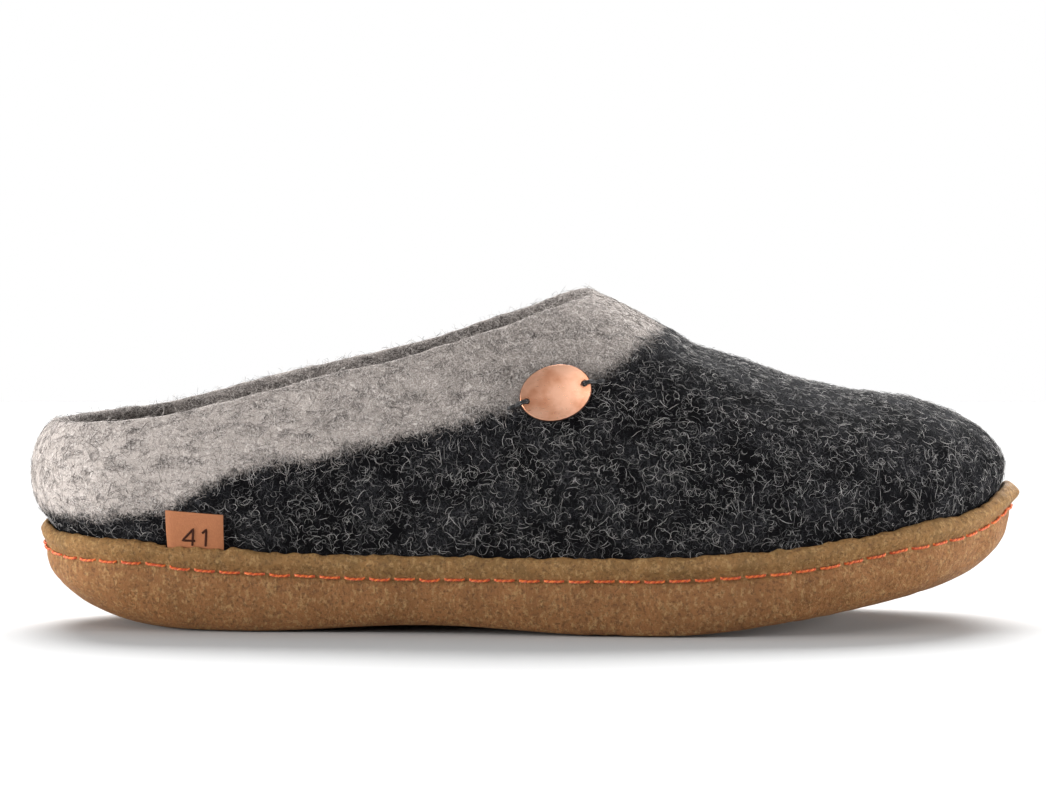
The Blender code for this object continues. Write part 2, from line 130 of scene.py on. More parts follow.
def start_material(name: str, shader_values: dict[str, Any]) -> tuple[Tree, bpy.types.Node]:
    """Starts a material whose shader has its plain values set.

    Args:
        name: The material's name.
        shader_values: Values for the shader's own sockets.

    Returns:
        The node tree and its Principled shader.
    """
    material = bpy.data.materials.new(name)
    material.use_nodes = True
    shader = material.node_tree.nodes["Principled BSDF"]
    for key, value in shader_values.items():
        shader.inputs[key].default_value = value
    return material.node_tree, shader


def close_material(tree: Tree, shader: bpy.types.Node, colour: Socket, normal: Socket | None = None) -> Tree:
    """Links a material's colour, and the slope of its relief if it has one, to the shader."""
    tree.links.new(colour, shader.inputs["Base Color"])
    if normal is not None:
        tree.links.new(normal, shader.inputs["Normal"])
    return tree


def on_object(tree: Tree) -> Socket:
    """The place on the piece, in metres."""
    return add_node(tree, "ShaderNodeTexCoord", {}).outputs["Object"]


def vertex_number(tree: Tree, name: str) -> Socket:
    """The number that set_attribute gave each vertex under this name."""
    return add_node(tree, "ShaderNodeAttribute", {}, attribute_name=name).outputs["Fac"]


def stretched(tree: Tree, here: Socket, scale: Triple, turn: float = 0.0) -> Socket:
    """The place, turned about the Y axis and scaled, which makes a pattern's grains longer one way."""
    values = {"Vector": here, "Rotation": (0.0, turn, 0.0), "Scale": scale}
    return add_node(tree, "ShaderNodeMapping", values).outputs[0]


def per_metre(size: float) -> float:
    """The scale that makes a pattern's grains about as long as size, in metres."""
    return 1.0 / size


def noise(
    tree: Tree, here: Socket, size: float, detail: float, roughness: float = 0.5, distortion: float = 0.0
) -> Socket:
    """A noise pattern.

    Args:
        tree: The material's node tree.
        here: The place.
        size: About how long its grains are.
        detail: How many finer layers it has.
        roughness: How much the finer layers count.
        distortion: How much it is twisted.

    Returns:
        A socket from 0 to 1.
    """
    values = {"Vector": here, "Scale": per_metre(size), "Detail": detail}
    values |= {"Roughness": roughness, "Distortion": distortion}
    return add_node(tree, "ShaderNodeTexNoise", values).outputs["Fac"]


def calculated(tree: Tree, operation: str, *values: Socket | float, clamp: bool = False) -> Socket:
    """One sum with sockets and numbers."""
    inputs = dict(enumerate(values))
    return add_node(tree, "ShaderNodeMath", inputs, operation=operation, use_clamp=clamp).outputs[0]


def ranged(
    tree: Tree,
    value: Socket,
    start: float,
    end: float,
    low: float = 0.0,
    high: float = 1.0,
    smooth: bool = False,
) -> Socket:
    """Turns the range from start to end into one from low to high.

    Args:
        tree: The material's node tree.
        value: What to turn.
        start: The value that becomes low.
        end: The value that becomes high.
        low: The result at the start and before it.
        high: The result at the end and after it.
        smooth: Whether it eases in and out.

    Returns:
        The result's socket.
    """
    values = {"Value": value, "From Min": start, "From Max": end, "To Min": low, "To Max": high}
    course = "SMOOTHSTEP" if smooth else "LINEAR"
    return add_node(tree, "ShaderNodeMapRange", values, interpolation_type=course).outputs[0]


def mixed(tree: Tree, share: Socket, first: Socket | str, second: Socket | str) -> Socket:
    """Mixes two colours, each a socket or written as #rrggbb."""
    ends = [linear(colour) if isinstance(colour, str) else colour for colour in (first, second)]
    values = {0: share, 6: ends[0], 7: ends[1]}
    return add_node(tree, "ShaderNodeMix", values, data_type="RGBA").outputs[2]


def relief(tree: Tree, height: Socket, strength: float, distance: float, sunk: bool = False) -> Socket:
    """The slope of a fine relief, raised or sunk."""
    values = {"Strength": strength, "Distance": distance, "Height": height}
    return add_node(tree, "ShaderNodeBump", values, invert=sunk).outputs[0]


def rolling(points: np.ndarray, size: float, seed: int, waves: int = 24) -> np.ndarray:
    """A smooth field of swells and hollows, drawn from a seed.

    Args:
        points: Places, one a row.
        size: Length of a swell and its hollow together.
        seed: Which field.
        waves: How many plane waves it is summed from.

    Returns:
        A height for each place, mostly from -1 to 1.
    """
    draw = np.random.default_rng(seed)
    ways = draw.normal(size=(3, waves))
    ways *= 2 * math.pi / size * draw.uniform(0.6, 1.4, waves) / np.linalg.norm(ways, axis=0)
    return np.cos(points @ ways + draw.uniform(0, 2 * math.pi, waves)).sum(axis=1) / math.sqrt(waves)


def eased(values: np.ndarray, start: float, end: float) -> np.ndarray:
    """A smooth rise from 0 at start to 1 at end."""
    share = np.clip((values - start) / (end - start), 0.0, 1.0)
    return share * share * (3 - 2 * share)


def places(mesh: bpy.types.Mesh) -> np.ndarray:
    """The mesh's vertices, one a row."""
    points = np.empty(len(mesh.vertices) * 3)
    mesh.vertices.foreach_get("co", points)
    return points.reshape(-1, 3)


def facings(mesh: bpy.types.Mesh) -> np.ndarray:
    """The outward unit vector at each vertex."""
    normals = np.empty(len(mesh.vertices) * 3)
    mesh.vertices.foreach_get("normal", normals)
    return normals.reshape(-1, 3)


def set_places(mesh: bpy.types.Mesh, points: np.ndarray) -> None:
    """Moves the mesh's vertices."""
    mesh.vertices.foreach_set("co", points.ravel())
    mesh.update()


def set_attribute(mesh: bpy.types.Mesh, name: str, values: np.ndarray) -> None:
    """Gives each vertex a number that the material reads."""
    layer = mesh.attributes.new(name, "FLOAT", "POINT")
    layer.data.foreach_set("value", values.astype(np.float32))


def tree_of(mesh: bpy.types.Mesh) -> BVHTree:
    """A search tree over the mesh's faces."""
    return BVHTree.FromPolygons(
        [vertex.co for vertex in mesh.vertices], [polygon.vertices for polygon in mesh.polygons]
    )


def merged_copy(node: str) -> LooseMesh:
    """A joined-up copy of a CAD node's loose triangles, turned back into quads where they are flat."""
    bm = bmesh.new()
    bm.from_mesh(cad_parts[node].data)
    bmesh.ops.remove_doubles(bm, verts=bm.verts, dist=0.001 * MM)
    limit = math.radians(40)
    bmesh.ops.join_triangles(bm, faces=bm.faces, angle_face_threshold=limit, angle_shape_threshold=limit)
    return bm


def placed(name: str, data: bpy.types.ID) -> Piece:
    """A new object in the scene, at the origin."""
    item = bpy.data.objects.new(name, data)
    bpy.context.scene.collection.objects.link(item)
    return item


def to_piece(bm: LooseMesh, name: str) -> Piece:
    """Makes a smooth-shaded object of the bmesh and frees it.

    Args:
        bm: The mesh, in its place.
        name: The piece's name.

    Returns:
        The object, at the origin.
    """
    mesh = bpy.data.meshes.new(name)
    bm.to_mesh(mesh)
    bm.free()
    mesh.shade_smooth()
    return placed(name, mesh)


def round_edges(bm: LooseMesh, edges: list[bmesh.types.BMEdge], offset: float) -> None:
    """Rounds the edges off by a small bevel."""
    bmesh.ops.bevel(bm, geom=edges, offset=offset, segments=2, profile=0.5, affect="EDGES", material=-1)


def rounded_off(piece: Piece, levels: int) -> None:
    """Subdivides the piece smoothly, for good."""
    finer = piece.modifiers.new("rounded", "SUBSURF")
    finer.levels = finer.render_levels = levels
    rest = bpy.context.evaluated_depsgraph_get()
    mesh = bpy.data.meshes.new_from_object(piece.evaluated_get(rest))
    piece.modifiers.clear()
    piece.data = mesh


def finer_copy(bm: LooseMesh, name: str, levels: int) -> tuple[Piece, np.ndarray, np.ndarray]:
    """Makes a smoothly subdivided object of a node's copy.

    Args:
        bm: The copy.
        name: The piece's name.
        levels: How often it is subdivided.

    Returns:
        The object, its places and its outward ways.
    """
    piece = to_piece(bm, name)
    rounded_off(piece, levels)
    return piece, places(piece.data), facings(piece.data)


def cover(piece: Piece, tree: Tree) -> None:
    """Gives a piece the one material that the node tree belongs to."""
    piece.data.materials.clear()
    piece.data.materials.append(next(item for item in bpy.data.materials if item.node_tree == tree))


def dress(piece: Piece, tree: Tree, slot: Slot | None, *nodes: str) -> Piece:
    """Gives a piece its finish, its body and the CAD nodes that it stands for.

    Args:
        piece: The finished piece.
        tree: The node tree of its material.
        slot: The record's slot that its finish belongs to, or None for thread; not used.
        *nodes: The CAD nodes that it replaces.

    Returns:
        The piece.
    """
    cover(piece, tree)
    if nodes:
        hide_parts(*nodes)
    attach(piece, BODY)
    return piece


@dataclass(frozen=True)
class FeltedWool:
    """Wet-felted sheep's wool, a charcoal body and a light grey band: hairy, matt, soft at its silhouette."""

    body_ground: str = "#070709"
    body_hair: str = "#3a3a3d"
    # The band is palest at the heel and greyer towards the throat: partly the wool's own tone, partly painted
    # light, with the heel lit by the side light and the throat in shade
    heel_ground_lit: str = "#cbc0b9"
    throat_ground_shaded: str = "#9a918b"
    heel_lit_x: float = -125 * MM
    throat_shaded_x: float = 15 * MM
    band_hair: str = "#e8e0da"
    band_fleck: str = "#57514e"
    # How far the band's edge wanders, how far its hairs stray, and half the height of its fade, in mm
    wander: float = 5.0
    dither: float = 9.0
    soft_edge: float = 2.4
    clump: float = 11 * MM
    # Steps of the noise from one hair to the next, and from a hair's middle to its core's edge and its end
    between_hairs: float = 0.075
    hair_core: float = 0.003
    hair_edge: float = 0.018
    # How much the hairs show on the band, and how much painted shade darkens the inner wall
    lit_hair: float = 0.55
    inner_painted_shade: float = 0.72

    def _hairs(self, tree: Tree, here: Socket, size: float, lot: float) -> Socket:
        """Curled hairs, drawn as the contour lines of a noise.

        Args:
            tree: The material's node tree.
            here: The place on the felt.
            size: Width of a curl.
            lot: Which hairs.

        Returns:
            A socket that is 1 on a hair and 0 beside it.
        """
        field = add_node(
            tree,
            "ShaderNodeTexNoise",
            {"Vector": here, "W": lot, "Scale": per_metre(size), "Detail": 1.5, "Distortion": 0.9},
            noise_dimensions="4D",
        )
        contour = calculated(tree, "PINGPONG", field.outputs["Fac"], self.between_hairs)
        return ranged(tree, contour, self.hair_core, self.hair_edge, 1.0, 0.0)

    def make(self) -> Tree:
        """Builds the material. The vertex attribute band says how many mm above the band's edge it is, and
        inside marks the inner wall, which is darkened by painted shade.
        """
        tree, shader = start_material("felted_wool_two_tone", {"Roughness": 0.95, "Specular IOR Level": 0.06})
        here = on_object(tree)
        # Wool laid over wool by hand leaves an edge that wanders, with hairs of each lying on the other
        far = noise(tree, here, 8 * MM, 3.0)
        near = noise(tree, here, 0.9 * MM, 3.0, distortion=1.5)
        strayed = calculated(tree, "MULTIPLY_ADD", far, self.wander, vertex_number(tree, "band"))
        frayed = calculated(tree, "MULTIPLY_ADD", near, self.dither, strayed)
        level = (self.wander + self.dither) / 2
        on_band = ranged(tree, frayed, level - self.soft_edge, level + self.soft_edge, smooth=True)
        # Real fibres are 0.03 mm thick. These are drawn about twice as thick, so that they show
        hairs = self._hairs(tree, here, 1.8 * MM, 1.0)
        for size, lot in ((2.6 * MM, 5.0), (1.2 * MM, 9.0)):
            hairs = calculated(tree, "MAXIMUM", hairs, self._hairs(tree, here, size, lot))
        grain = noise(tree, here, 0.6 * MM, 3.0, distortion=1.0)
        thick = ranged(tree, noise(tree, here, self.clump, 3.0), 0.41, 0.6, 0.12, 0.9)
        body = mixed(tree, calculated(tree, "MULTIPLY", hairs, thick), self.body_ground, self.body_hair)
        along = add_node(tree, "ShaderNodeSeparateXYZ", {0: here}).outputs["X"]
        # Painted light and shade: the band's ground fades from the lit heel to the shaded throat
        toward_shaded_throat = ranged(tree, along, self.heel_lit_x, self.throat_shaded_x, smooth=True)
        shade = mixed(tree, toward_shaded_throat, self.heel_ground_lit, self.throat_ground_shaded)
        # The band's wool was laid along it, so its streaks run forwards and up
        laid = stretched(tree, here, (0.45, 0.8, 1.2), math.radians(20))
        tufts = noise(tree, laid, 4 * MM, 6.0, 0.68, 1.0)
        patches = calculated(tree, "MULTIPLY_ADD", tufts, 2.6, grain)
        fleck = ranged(tree, patches, 1.68, 2.3, high=0.8)
        # Painted shade: the inner wall is greyed, on top of the band's real flecks
        fleck_and_inner_shade = calculated(tree, "MULTIPLY_ADD", vertex_number(tree, "inside"), self.inner_painted_shade, fleck)
        ground = mixed(tree, fleck_and_inner_shade, shade, self.band_fleck)
        band = mixed(tree, calculated(tree, "MULTIPLY", hairs, self.lit_hair), ground, self.band_hair)
        height = calculated(tree, "ADD", hairs, grain)
        colour = mixed(tree, on_band, body, band)
        return close_material(tree, shader, colour, relief(tree, height, 0.5, 0.3 * MM))


@dataclass(frozen=True)
class WoolFibre:
    """Loose wool fibres on the felt's face: scaly and matt, paler than the felt where light gets through."""

    name: str
    dark: str
    pale: str

    def make(self) -> Tree:
        """Builds the material. The attribute shade differs from fibre to fibre."""
        tree, shader = start_material(self.name, {"Roughness": 0.8, "Specular IOR Level": 0.12})
        return close_material(tree, shader, mixed(tree, vertex_number(tree, "shade"), self.dark, self.pale))


@dataclass(frozen=True)
class PressedFelt:
    """A die-cut footbed of pressed wool felt: grey, even and matt, with fine pale fibres."""

    shade: str = "#5d5854"
    hair: str = "#8f8984"

    def make(self) -> Tree:
        """Builds the material."""
        tree, shader = start_material("pressed_wool_felt", {"Roughness": 0.95, "Specular IOR Level": 0.1})
        hairs = noise(tree, on_object(tree), 0.7 * MM, 5.0, distortion=1.2)
        colour = mixed(tree, hairs, self.shade, self.hair)
        return close_material(tree, shader, colour, relief(tree, hairs, 0.5, 0.3 * MM))


@dataclass(frozen=True)
class CrepeRubber:
    """Natural crepe rubber, pressed from crumpled sheets: amber, mottled, dry to the touch, a little waxy."""

    # The side below the seam is a touch redder than the lip: painted reddish bounce light and shade under the
    # lip
    band: str = "#8e683a"
    band_dull: str = "#7f5e33"
    side: str = "#926338"
    side_red: str = "#865a31"
    crumb: str = "#bf9c68"
    pit: str = "#4d3016"

    def make(self) -> Tree:
        """Builds the material. The attribute over_seam says how many mm above the stitches it is."""
        tree, shader = start_material(
            "natural_crepe_rubber",
            {
                "Roughness": 0.68,
                "Specular IOR Level": 0.3,
                "IOR": 1.52,
                "Subsurface Weight": 0.12,
                "Subsurface Radius": (1.0, 0.45, 0.2),
                "Subsurface Scale": 1.6 * MM,
            },
        )
        here = on_object(tree)
        # The sheets' folds run up the side, so the mottling is longer than it is wide
        upright = stretched(tree, here, (1.0, 1.0, 0.65))
        mottle = noise(tree, upright, 1.4 * MM, 5.0, roughness=0.75)
        crumbs = noise(tree, here, 1.0 * MM, 4.0, roughness=0.75)
        patches = ranged(tree, noise(tree, upright, 7 * MM, 5.0, distortion=0.6), 0.42, 0.62)
        side = mixed(tree, patches, self.side, self.side_red)
        rim = mixed(tree, patches, self.band, self.band_dull)
        # Painted light: below the seam the redder side colours stand in for bounce light and shade under the
        # lip
        on_rim = ranged(tree, vertex_number(tree, "over_seam"), -2.5, 1.5, smooth=True)
        ground = mixed(tree, on_rim, side, rim)
        speckled = mixed(tree, ranged(tree, mottle, 0.51, 0.62, high=0.5), ground, self.crumb)
        colour = mixed(tree, ranged(tree, crumbs, 0.49, 0.38, high=0.62), speckled, self.pit)
        height = calculated(tree, "ADD", crumbs, mottle)
        return close_material(tree, shader, colour, relief(tree, height, 0.9, 0.6 * MM))


@dataclass(frozen=True)
class WaxedThread:
    """Waxed polyester thread, laid from two plies: bright and smooth, with a soft gloss along each ply."""

    name: str
    colour: str
    worn_and_shaded: str

    def make(self) -> Tree:
        """Builds the material. The attribute ply, 0 or 1, paints the second ply darker: painted shade
        standing in for the light and shade on the twist.
        """
        tree, shader = start_material(
            self.name, {"Roughness": 0.42, "Coat Weight": 0.2, "Coat Roughness": 0.35, "Sheen Weight": 0.1}
        )
        here = on_object(tree)
        wear = noise(tree, here, 2.5 * MM, 3.0)
        # Painted shade on the second ply, plus real wear from the noise
        share = calculated(tree, "MULTIPLY_ADD", vertex_number(tree, "ply"), 0.75, wear, clamp=True)
        filaments = noise(tree, here, 0.15 * MM, 2.0)
        colour = mixed(tree, share, self.colour, self.worn_and_shaded)
        return close_material(tree, shader, colour, relief(tree, filaments, 0.35, 0.08 * MM))


@dataclass(frozen=True)
class TanLeather:
    """Vegetable-tanned cowhide, split and die-cut: warm tan, finely pored, with a dry waxed face."""

    face: str = "#b9794f"
    deep: str = "#9c6040"
    pore: float = 0.5 * MM

    def make(self) -> Tree:
        """Builds the material."""
        values = {"Roughness": 0.55, "Specular IOR Level": 0.35}
        tree, shader = start_material("vegetable_tanned_leather", values)
        here = on_object(tree)
        pores = add_node(
            tree, "ShaderNodeTexVoronoi", {"Vector": here, "Scale": per_metre(self.pore)}, feature="F1"
        )
        colour = mixed(tree, noise(tree, here, 0.9 * MM, 5.0, roughness=0.7), self.face, self.deep)
        sunk = relief(tree, pores.outputs["Distance"], 0.4, 0.12 * MM, sunk=True)
        return close_material(tree, shader, colour, sunk)


@dataclass(frozen=True)
class BurnedLeather:
    """Leather charred by a hot stamp: nearly black, dull and slightly crusted."""

    char: str = "#241009"
    brown: str = "#46210f"

    def make(self) -> Tree:
        """Builds the material."""
        tree, shader = start_material("burned_leather", {"Roughness": 0.8, "Specular IOR Level": 0.2})
        crust = noise(tree, on_object(tree), 0.5 * MM, 3.0)
        return close_material(tree, shader, mixed(tree, crust, self.char, self.brown))


@dataclass(frozen=True)
class Copper:
    """Stamped sheet copper, rolled and lightly brushed: rosy, satin, darker round its rim."""

    face: str = "#f6bd9e"
    tarnish: str = "#d48c68"
    edge: str = "#3a1c12"

    def make(self) -> Tree:
        """Builds the material. The attribute rim is 1 on the cut edge and 0 on the face."""
        tree, shader = start_material("brushed_copper", {"Metallic": 1.0})
        here = on_object(tree)
        # Brushing runs along the disc, so its lines are twelve times as long as they are wide
        brushed = noise(tree, stretched(tree, here, (0.08, 1.0, 1.0)), 0.25 * MM, 3.0)
        haze = ranged(tree, noise(tree, here, 5 * MM, 4.0), 0.4, 0.75)
        face = mixed(tree, haze, self.face, self.tarnish)
        colour = mixed(tree, vertex_number(tree, "rim"), face, self.edge)
        tree.links.new(ranged(tree, brushed, 0.0, 1.0, 0.2, 0.42), shader.inputs["Roughness"])
        return close_material(tree, shader, colour, relief(tree, brushed, 0.15, 0.05 * MM))


@dataclass(frozen=True)
class StudioPaper:
    """Matt pale background paper, without a mark."""

    white: str = "#bfbfbf"

    def make(self) -> Tree:
        """Builds the material."""
        values = {"Base Color": linear(self.white), "Roughness": 0.9, "Specular IOR Level": 0.0}
        return start_material("white_studio_paper", values)[0]


@dataclass
class Seam:
    """The stitched groove round the rubber cup, read from the CAD solid as a closed line."""

    crease: float = math.radians(29)
    lip_over_seam: float = 6.4 * MM
    samples: int = 720
    fewest_corners: int = 60
    steps_each: int = 12

    def __post_init__(self) -> None:
        """Finds the solid's outermost concave ring and runs a smooth line through it."""
        bm = merged_copy("outsole")
        joined = [edge for edge in bm.edges if len(edge.link_faces) == 2]
        concave = [edge for edge in joined if edge.calc_face_angle_signed(0) < -self.crease]
        ring = max(self._rings(concave), key=lambda points: sum(point.z for point in points) / len(points))
        bm.free()
        self.line = self._smooth(np.array([point[:] for point in ring]))

    def _rings(self, edges: list[bmesh.types.BMEdge]) -> list[list[Vector]]:
        """The closed rings that the edges form.

        Args:
            edges: Concave edges of the cup.

        Returns:
            The points of each long ring, in order.
        """
        beside: dict[Any, list[Any]] = {}
        for edge in edges:
            for vertex in edge.verts:
                beside.setdefault(vertex, []).append(edge.other_vert(vertex))
        rings, seen = [], set()
        for start in beside:
            ring, here = [], start
            while here is not None and here not in seen:
                seen.add(here)
                ring.append(here.co.copy())
                here = next((other for other in beside[here] if other not in seen), None)
            if len(ring) > self.fewest_corners:
                rings.append(ring)
        return rings

    def _smooth(self, ring: np.ndarray) -> np.ndarray:
        """Evenly spaced points on a smooth closed curve through the ring.

        Args:
            ring: The ring's corners.

        Returns:
            The line's points.
        """
        before, after, next_after = np.roll(ring, 1, 0), np.roll(ring, -1, 0), np.roll(ring, -2, 0)
        t = np.linspace(0, 1, self.steps_each, endpoint=False)[:, None, None]
        curve = 0.5 * (
            2 * ring
            + (after - before) * t
            + (2 * before - 5 * ring + 4 * after - next_after) * t**2
            + (3 * ring - before - 3 * after + next_after) * t**3
        )
        dense = curve.transpose(1, 0, 2).reshape(-1, 3)
        closed = np.vstack([dense, dense[:1]])
        gone = np.concatenate([[0], np.cumsum(np.linalg.norm(np.diff(closed, axis=0), axis=1))])
        self.length = float(gone[-1])
        at = np.linspace(0, self.length, self.samples, endpoint=False)
        return np.stack([np.interp(at, gone, closed[:, axis]) for axis in range(3)], axis=1)

    def nearest(self, points: np.ndarray) -> np.ndarray:
        """The number of the line's point that is nearest to each place, seen from above."""
        lots = []
        for first in range(0, len(points), LOT):
            away = points[first : first + LOT, None, :2] - self.line[None, :, :2]
            lots.append(np.argmin((away**2).sum(axis=2), axis=1))
        return np.concatenate(lots)

    def height_under(self, points: np.ndarray) -> np.ndarray:
        """How far each place is above the line beside it."""
        return points[:, 2] - self.line[self.nearest(points), 2]


def faces_inside(points: np.ndarray, ways: np.ndarray) -> np.ndarray:
    """Whether each place of the shell faces the foot.

    Args:
        points: The places.
        ways: The shell's outward ways there.

    Returns:
        A truth value for each place.
    """
    foot_x = np.clip(points[:, 0], -FOOT_REACH, FOOT_REACH)
    foot = np.stack([foot_x, np.zeros(len(points)), np.full(len(points), FOOT_HEIGHT)], axis=1)
    return ((foot - points) * ways).sum(axis=1) > 0


@dataclass(frozen=True)
class Trough:
    """A soft trough that wear has pressed into the felt, or a ridge where its depth is negative, in mm."""

    middle: Triple
    along: Triple
    length: float
    width: float
    depth: float

    def sink(self, points: np.ndarray) -> np.ndarray:
        """How deep each place sinks, in metres."""
        way = np.array(Vector(self.along).normalized())
        away = points / MM - np.array(self.middle)
        forth = away @ way
        aside = np.linalg.norm(away - forth[:, None] * way, axis=1)
        return self.depth * MM * np.exp(-((forth / self.length) ** 2) - (aside / self.width) ** 2)


@dataclass
class FeltUpper:
    """The felted shell: a finer copy of the CAD solid with hand-felted swells and its two wools."""

    seam: Seam
    troughs: tuple[Trough, ...] = (
        Trough((-92, -37, 48), (1, 0, 0.15), 30, 7, 0.6),
        Trough((-10, -41, 50), (1, 0, 0.35), 34, 8, 0.7),
        Trough((58, -34, 70), (0.8, 0.1, -0.4), 22, 7, 0.6),
        Trough((50, 5, 83), (0, 1, 0), 24, 5, 0.8),
        Trough((66, 3, 79), (0.1, 1, 0), 26, 5, -0.5),
        Trough((96, 2, 71), (0.2, 1, 0), 30, 7, 0.6),
        Trough((40, -46, 38), (1, 0, -0.1), 30, 8, 0.5),
        Trough((-30, 37, 56), (1, 0, 0.3), 36, 8, 0.6),
        Trough((60, 42, 50), (1, 0, -0.3), 28, 8, 0.6),
        Trough((-140, 0, 45), (0, 1, 0), 22, 6, 0.5),
        Trough((-143, 0, 65), (0, 1, 0), 28, 9, 1.6),
        Trough((21, 0, 98), (0.3, 1, 0), 22, 7, 0.8),
    )
    # Edge of the light band: place along the slipper and height, in mm. It is the same on both sides
    edge: tuple[tuple[float, float], ...] = (
        (-143, 35), (-128, 33.2), (-115, 34), (-104, 35.8), (-97, 39), (-91, 42.8), (-84, 46.6), (-72, 49.8),
        (-58, 50.4), (-47, 54), (-30, 58.2), (-18, 61.5), (-7, 64.7), (10, 69.8), (22, 74.6), (28, 78),
        (34, 83), (41, 86), (46, 96),
    )
    swell: float = 0.42 * MM
    dimple: float = 0.16 * MM
    # Height over the seam at which the felt begins to swell, and over which it comes to its full swell
    clear_of_lip: float = 9 * MM
    fading_in: float = 12 * MM
    # How far the inner wall's painted shade fades out over the rim
    rim_reach: float = 4.5 * MM

    def edge_height(self, points: np.ndarray) -> np.ndarray:
        """The height of the band's edge beside each place, in mm."""
        along, height = zip(*self.edge)
        return np.interp(points[:, 0] / MM, along, height)

    def above_edge(self, points: np.ndarray) -> np.ndarray:
        """How many mm each place is above the band's edge."""
        return points[:, 2] / MM - self.edge_height(points)

    def make(self) -> Piece:
        """Models and dresses the shell."""
        piece, points, ways = finer_copy(merged_copy("upper"), "felt_upper", 2)
        start = self.clear_of_lip
        free = eased(self.seam.height_under(points), start, start + self.fading_in)
        lumps = self.swell * rolling(points, 34 * MM, seed=11)
        lumps += self.dimple * rolling(points, 9 * MM, seed=12)
        lumps -= sum(trough.sink(points) for trough in self.troughs)
        set_places(piece.data, points + ways * (free * lumps)[:, None])
        set_attribute(piece.data, "band", self.above_edge(places(piece.data)))
        # The attribute inside carries the inner wall's painted shade
        set_attribute(piece.data, "inside", self._inner_shade_share(points, faces_inside(points, ways)))
        self.mesh = piece.data
        return dress(piece, FeltedWool().make(), Slot.UPPER, "upper")

    def _inner_shade_share(self, points: np.ndarray, inner: np.ndarray) -> np.ndarray:
        """How much painted shade each place gets as part of the inner wall: 1 on it, fading out over the rim.

        Args:
            points: The shell's places.
            inner: Whether each faces the foot.

        Returns:
            A share for each place.
        """
        lookup = KDTree(int(inner.sum()))
        for k, point in enumerate(points[inner]):
            lookup.insert(point, k)
        lookup.balance()
        away = np.array([0.0 if inside else lookup.find(point)[2] for point, inside in zip(points, inner)])
        return np.exp(-((away / self.rim_reach) ** 2))


